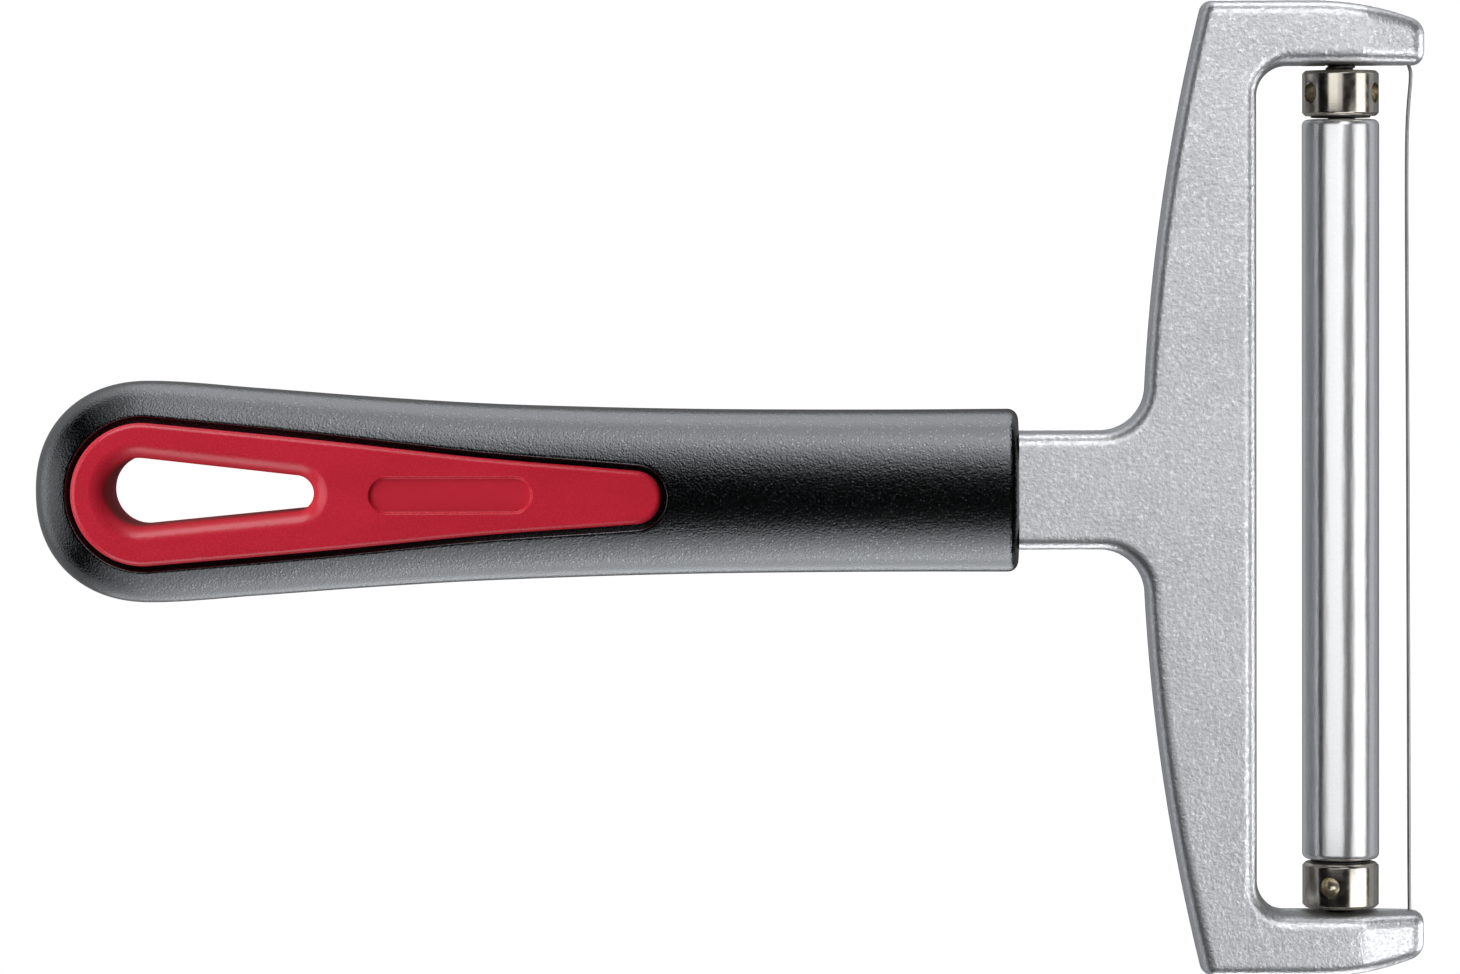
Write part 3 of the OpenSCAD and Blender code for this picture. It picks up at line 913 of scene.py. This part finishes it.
def nickel():
    m = Mat("nickel_plate")
    turn = m.noise(1400, 2.0, 0.6, m.scaled(0.12, 6.0, 0.12))
    smut = m.noise(900, 3.0, 0.6)
    color = m.mix(m.ramp(smut, 0.35, 0.7, 0.0, 1.0), (0.41, 0.385, 0.335), (0.50, 0.47, 0.415))
    rough = m.ramp(smut, 0.3, 0.75, 0.14, 0.23)
    # inside the drilled holes the plating is rougher, and its colour is painted paler as a painted
    # highlight that makes the holes read bright
    axes = m.node("ShaderNodeSeparateXYZ")
    m.link(m.coord, axes.inputs["Vector"])
    dx = m.math("SUBTRACT", axes.outputs["X"], AXIS_X * MM)
    dz = m.math("SUBTRACT", axes.outputs["Z"], Z0 * MM)
    r2 = m.math("ADD", m.math("MULTIPLY", dx, dx), m.math("MULTIPLY", dz, dz))
    hole_rough_and_painted_light = m.ramp(r2, (4.95 * MM) ** 2, (4.6 * MM) ** 2, 0.0, 1.0)
    # painted highlight: paler metal colour in the holes
    color = m.mix(hole_rough_and_painted_light, color, (0.74, 0.69, 0.57))
    rough = m.math("MULTIPLY_ADD", hole_rough_and_painted_light, 0.12)
    m.link(m.ramp(smut, 0.3, 0.75, 0.14, 0.23), rough.node.inputs[2])
    n1 = m.bump(turn, 0.05, 0.00005)
    m.set(Base_Color=color, Metallic=1.0, Roughness=rough, Normal=n1)
    return m.mat


def roller_metal():
    m = Mat("turned_aluminium")
    turn = m.noise(2600, 3.0, 0.65, m.scaled(0.10, 1.0, 0.10))
    grain = m.noise(3000, 2.0, 0.6)
    pit = m.cells(1500)
    spot = m.ramp(pit.outputs["Distance"], 0.12, 0.04, 0.0, 0.35)
    color = m.mix(m.ramp(grain, 0.3, 0.7, 0.0, 1.0), (0.85, 0.855, 0.87), (0.92, 0.925, 0.935))
    color = m.mix(spot, color, (0.62, 0.63, 0.65))
    rough = m.ramp(grain, 0.3, 0.7, 0.31, 0.36)
    streak = m.noise(900, 2.0, 0.5, m.scaled(1.0, 0.15, 1.0))     # handling marks along the tube
    n1 = m.bump(turn, 0.06, 0.00006)
    n1 = m.bump(streak, 0.30, 0.00010, n1)
    n2 = m.bump(grain, 0.04, 0.00006, n1)
    m.set(Base_Color=color, Metallic=1.0, Roughness=rough, Normal=n2)
    along = m.node("ShaderNodeCombineXYZ")        # turning marks spread the light along the axis
    along.inputs["Y"].default_value = 1.0
    m.link(along.outputs["Vector"], m.b.inputs["Tangent"])
    m.b.inputs["Anisotropic"].default_value = 0.7
    return m.mat


def dark_steel():
    m = Mat("blackened_steel")
    smut = m.noise(1500, 3.0, 0.6)
    color = m.mix(m.ramp(smut, 0.35, 0.7, 0.0, 1.0), (0.035, 0.034, 0.036), (0.11, 0.105, 0.10))
    m.set(Base_Color=color, Metallic=1.0, Roughness=m.ramp(smut, 0.3, 0.7, 0.30, 0.45),
          Normal=m.bump(smut, 0.1, 0.00005))
    return m.mat


def wire_steel():
    m = Mat("drawn_steel_wire")
    drawn = m.noise(4000, 2.0, 0.6, m.scaled(1.0, 0.02, 1.0))
    color = m.mix(m.ramp(drawn, 0.3, 0.7, 0.0, 1.0), (0.20, 0.20, 0.205), (0.36, 0.36, 0.365))
    m.set(Base_Color=color, Metallic=1.0, Roughness=m.ramp(drawn, 0.3, 0.7, 0.26, 0.40),
          Normal=m.bump(drawn, 0.12, 0.00004))
    return m.mat


def dull_plastic(name, a, b):
    m = Mat(name)
    fine = m.noise(2500, 2.0, 0.6)
    m.set(Base_Color=m.mix(m.ramp(fine, 0.3, 0.7, 0.0, 1.0), a, b),
          Roughness=m.ramp(fine, 0.3, 0.7, 0.42, 0.58), Normal=m.bump(fine, 0.12, 0.00006))
    return m.mat


# ------------------------------------------------------------------ camera
cam = bpy.data.cameras.new("camera")
cam.sensor_fit, cam.sensor_width = "HORIZONTAL", 36.0
cam.lens = 148.004
cam.clip_start, cam.clip_end = 0.01, 20
cam_ob = bpy.data.objects.new("camera", cam)
cam_ob.location = (0.015, 0.03254, 0.818)
cam_ob.rotation_euler = (math.radians(-2.2656), math.radians(1.0385), math.radians(-0.2396))
scene.collection.objects.link(cam_ob)
scene.camera = cam_ob

# ------------------------------------------------------------------ pieces
ALU, BLACK, RED = cast_aluminium(), black_plastic(), red_plastic()
NICKEL, ROLLER, DARK, WIRE = nickel(), roller_metal(), dark_steel(), wire_steel()
BUSH = dull_plastic("bush_plastic", (0.02, 0.02, 0.021), (0.035, 0.035, 0.037))
WASHER = dull_plastic("washer_plastic", (0.012, 0.012, 0.012), (0.022, 0.022, 0.022))

# each kind of surface is lit by its own set of softboxes
LIT = {k: bpy.data.collections.new("lit_" + k) for k in ("plastic", "inlay", "fork", "roller", "fittings")}
SETS = {BLACK: ("plastic",), RED: ("inlay",), ALU: ("fork",), ROLLER: ("roller",)}

for ob, body, node, slot, mat in (
    (fork_body(), "frame", "fork_casting", "cast_aluminium", ALU),
    (handle_body(), "frame", "handle_shell", "handle_black", BLACK),
    (inlay_body("inlay_front", 1), "frame", "front_inlay", "inlay_red", RED),
    (inlay_body("inlay_back", -1), "frame", "back_inlay", "inlay_red", RED),
    (spindle_body(), "frame", "spindle", "spindle_steel", DARK),
    (wire_body(), "frame", "cutting_wire", "wire_steel", WIRE),
    (stop_body("wire_crimp_upper", 1), "frame", "upper_wire_stop", "wire_steel", WIRE),
    (stop_body("wire_crimp_lower", -1), "frame", "lower_wire_stop", "wire_steel", WIRE),
    (roller_body(), "roller", "roller_tube", "roller_aluminium", ROLLER),
    (bush_body("roller_bush_upper", ROLLER_MID + ROLLER_H - 10), "roller", "upper_roller_bush",
     "bush_plastic", BUSH),
    (bush_body("roller_bush_lower", ROLLER_MID - ROLLER_H), "roller", "lower_roller_bush",
     "bush_plastic", BUSH),
    (washer_body("washer_upper", UPPER_WASHER), "upper_washer", "upper_thrust_washer",
     "washer_plastic", WASHER),
    (washer_body("washer_lower", LOWER_WASHER), "lower_washer", "lower_thrust_washer",
     "washer_plastic", WASHER),
    (nut_body("nut_upper", UPPER_NUT, 62), "upper_nut", "upper_tension_nut", "nut_nickel", NICKEL),
    (nut_body("nut_lower", LOWER_NUT, -21), "lower_nut", "lower_tension_nut", "nut_nickel", NICKEL),
):
    ob.data.materials.clear()
    ob.data.materials.append(mat)
    for lit in SETS.get(mat, ("fittings",)):
        LIT[lit].objects.link(ob)
    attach(ob, body)
    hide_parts(node)

# ------------------------------------------------------------------ floor and light
me = bpy.data.meshes.new("floor")
me.from_pydata([(-6, -6, -0.0003), (6, -6, -0.0003), (6, 6, -0.0003), (-6, 6, -0.0003)], [], [(0, 1, 2, 3)])
floor = bpy.data.objects.new("floor", me)
scene.collection.objects.link(floor)
fm = Mat("pale_floor")
fm.set(Base_Color=(0.9, 0.9, 0.9), Roughness=0.9)
fm.b.inputs["Emission Color"].default_value = (1, 1, 1, 1)
fm.b.inputs["Emission Strength"].default_value = 1.0
me.materials.append(fm.mat)
# the slicer sees the studio below instead of the bright card
floor.visible_glossy = floor.visible_diffuse = floor.visible_shadow = False

world = bpy.data.worlds.new("studio")
scene.world = world
world.use_nodes = True
wt = world.node_tree
bg = wt.nodes["Background"]
bg.inputs["Color"].default_value = (0.95, 0.97, 1.0, 1)
axes = wt.nodes.new("ShaderNodeSeparateXYZ")
wt.links.new(wt.nodes.new("ShaderNodeTexCoord").outputs["Generated"], axes.inputs["Vector"])


def wmath(op, a, b=0.0, c=0.0):
    n = wt.nodes.new("ShaderNodeMath")
    n.operation = op
    for sock, v in zip(n.inputs, (a, b, c)):
        if isinstance(v, float):
            sock.default_value = v
        else:
            wt.links.new(v, sock)
    return n.outputs[0]


# below: a grey table, darker straight down and towards +X, lighter at +Y; above: nearly dark
wx, wy, wz = axes.outputs
far = wmath("MAXIMUM", wy, 0.0)
back = wmath("MULTIPLY_ADD", wx, -6.0, 0.5)
back = wmath("MINIMUM", wmath("MAXIMUM", back, 0.0), 1.0)
table = wmath("MULTIPLY_ADD", back, 0.17, 0.05)
table = wmath("MULTIPLY_ADD", wmath("MULTIPLY", wx, wx), 0.5, table)
table = wmath("MULTIPLY_ADD", wmath("MULTIPLY", far, far), 0.75, table)
under = wmath("MULTIPLY", wmath("SUBTRACT", 0.03, wz), 12.0)
under = wmath("MINIMUM", wmath("MAXIMUM", under, 0.0), 1.0)
wt.links.new(wmath("MULTIPLY_ADD", table, under, 0.006), bg.inputs["Strength"])


def softbox(name, lit, side, polar, span, radiance):
    """Area light one metre away, facing the slicer: side is the way it stands (x, y), polar its
    lower and upper angle from straight up, span its two ends along the other axis."""
    c = math.radians(sum(polar) / 2)
    high = 2 * math.tan(math.radians(polar[1] - polar[0]) / 2)
    wide, mid = span[1] - span[0], sum(span) / 2
    aim = Vector((mid, 0.0, 0.01) if side[1] else (0.05, mid, 0.01))
    li = bpy.data.lights.new(name, "AREA")
    li.shape, li.size, li.size_y = "RECTANGLE", wide, high
    li.energy = math.pi * wide * high * radiance
    li.color = (0.945, 0.985, 1.03) if lit == "plastic" else (1, 1, 1)
    ob = bpy.data.objects.new(name, li)
    scene.collection.objects.link(ob)
    ob.location = aim + Vector((math.sin(c) * side[0], math.sin(c) * side[1], math.cos(c)))
    ob.rotation_euler = (aim - ob.location).to_track_quat("-Z", "Y").to_euler()
    ob.visible_camera = False
    ob.light_linking.receiver_collection = LIT[lit]
    return ob


for name, lit, side, polar, span, radiance in (
    ("far_top", "plastic", (0, 1), (11, 20), (0.04, 0.40), 0.6),
    ("far_top_mid", "plastic", (0, 1), (12, 20), (-0.15, 0.04), 0.25),
    ("far_high", "plastic", (0, 1), (20, 36), (0.04, 0.42), 2.2),
    ("far_high_mid", "plastic", (0, 1), (20, 36), (-0.15, 0.04), 1.0),
    ("far_high_tail", "plastic", (0, 1), (24, 36), (-0.30, -0.15), 0.35),
    ("far_mid", "plastic", (0, 1), (36, 60), (0.02, 0.42), 3.5),
    ("far_mid_mid", "plastic", (0, 1), (36, 48), (-0.15, 0.02), 2.2),
    ("far_mid_tail", "plastic", (0, 1), (36, 48), (-0.30, -0.15), 0.7),
    ("far_side_mid", "plastic", (0, 1), (48, 60), (-0.15, 0.02), 3.0),
    ("far_side_tail", "plastic", (0, 1), (48, 60), (-0.30, -0.15), 1.1),
    ("far_low", "plastic", (0, 1), (60, 100), (0.0, 0.42), 2.3),
    ("far_low_mid", "plastic", (0, 1), (60, 100), (-0.15, 0.0), 2.2),
    ("far_low_tail", "plastic", (0, 1), (60, 100), (-0.30, -0.15), 1.4),
    ("far_under", "plastic", (0, 1), (100, 130), (-0.15, 0.42), 1.4),
    ("far_under_tail", "plastic", (0, 1), (100, 130), (-0.30, -0.15), 1.0),
    ("far_end", "plastic", (0, 1), (40, 125), (-0.75, -0.30), 0.42),
    ("near_top", "plastic", (0, -1), (16, 34), (-0.1, 0.4), 0.12),
    ("near_high", "plastic", (0, -1), (34, 54), (-0.15, 0.4), 1.4),
    ("near_high_tail", "plastic", (0, -1), (38, 54), (-0.40, -0.15), 0.7),
    ("near_mid", "plastic", (0, -1), (54, 76), (0.0, 0.4), 3.0),
    ("near_mid_mid", "plastic", (0, -1), (54, 76), (-0.15, 0.0), 1.8),
    ("near_mid_tail", "plastic", (0, -1), (54, 76), (-0.40, -0.15), 0.95),
    ("near_low", "plastic", (0, -1), (76, 95), (0.0, 0.4), 3.8),
    ("near_low_mid", "plastic", (0, -1), (76, 95), (-0.15, 0.0), 2.4),
    ("near_low_tail", "plastic", (0, -1), (76, 95), (-0.40, -0.15), 1.15),
    ("near_under", "plastic", (0, -1), (95, 145), (0.0, 0.4), 2.2),
    ("near_under_mid", "plastic", (0, -1), (95, 145), (-0.15, 0.0), 2.0),
    ("near_under_tail", "plastic", (0, -1), (95, 145), (-0.40, -0.15), 1.05),
    ("near_end", "plastic", (0, -1), (40, 135), (-0.75, -0.40), 0.5),
    ("tail_low", "plastic", (-1, 0), (60, 105), (-0.20, 0.20), 0.95),
    ("tail_low_far", "plastic", (-1, 0), (60, 105), (0.20, 0.45), 0.4),
    ("tail_low_near", "plastic", (-1, 0), (60, 105), (-0.50, -0.20), 0.6),
    ("inlay_far", "inlay", (0, 1), (36, 80), (-0.70, -0.02), 4.2),
    ("inlay_near", "inlay", (0, -1), (40, 84), (-0.70, -0.02), 2.7),
    ("inlay_left", "inlay", (-1, 0), (34, 80), (-0.35, 0.35), 2.0),
    ("fork_top", "fork", (0, 1), (-20, 10), (-0.2, 0.45), 0.27),
    ("fork_far_top", "fork", (0, 1), (10, 20), (0.0, 0.45), 2.15),
    ("fork_far_high", "fork", (0, 1), (20, 36), (0.0, 0.42), 3.3),
    ("fork_far_mid", "fork", (0, 1), (36, 50), (0.0, 0.42), 5.0),
    ("fork_far_low", "fork", (0, 1), (80, 106), (0.0, 0.42), 3.4),
    ("fork_near", "fork", (0, -1), (82, 118), (-0.1, 0.5), 3.2),
    ("fork_left", "fork", (-1, 0), (10, 46), (-0.05, 0.45), 1.9),
    ("fork_right", "fork", (1, 0), (80, 96), (-0.57, 0.17), 4.8),
    ("fork_right_low", "fork", (1, 0), (96, 112), (-0.57, 0.17), 2.4),
    ("fork_tip", "fork", (1, 0), (22, 40), (-0.5, -0.16), 9.0),
    ("fork_tip_far", "fork", (1, 0), (24, 40), (-0.1, 0.2), 1.1),
    ("roller_left", "roller", (-1, 0), (-6, 46), (-0.25, 0.32), 1.7),
    ("roller_left_low", "roller", (-1, 0), (46, 56), (-0.25, 0.32), 0.6),
    ("roller_right", "roller", (1, 0), (38, 76), (-0.5, 0.3), 1.7),
    ("roller_right_near", "roller", (1, 0), (29, 38), (-0.5, -0.13), 1.2),
    ("roller_far", "roller", (0, 1), (20, 60), (0.0, 0.42), 2.0),
    ("fit_left_top", "fittings", (-1, 0), (-3, 10), (0.0, 0.32), 1.3),
    ("fit_left", "fittings", (-1, 0), (10, 39), (0.0, 0.40), 2.0),
    ("fit_right", "fittings", (1, 0), (45, 76), (-0.06, 0.25), 2.7),
    ("fit_right_near", "fittings", (1, 0), (26, 80), (-0.57, -0.06), 3.0),
    ("fit_far", "fittings", (0, 1), (20, 60), (0.0, 0.42), 2.5),
    ("fit_near", "fittings", (0, -1), (64, 108), (-0.1, 0.5), 2.6),
):
    softbox(name, lit, side, polar, span, radiance)

scene.view_settings.view_transform = "Standard"
scene.view_settings.look = "None"

bpy.context.view_layer.update()
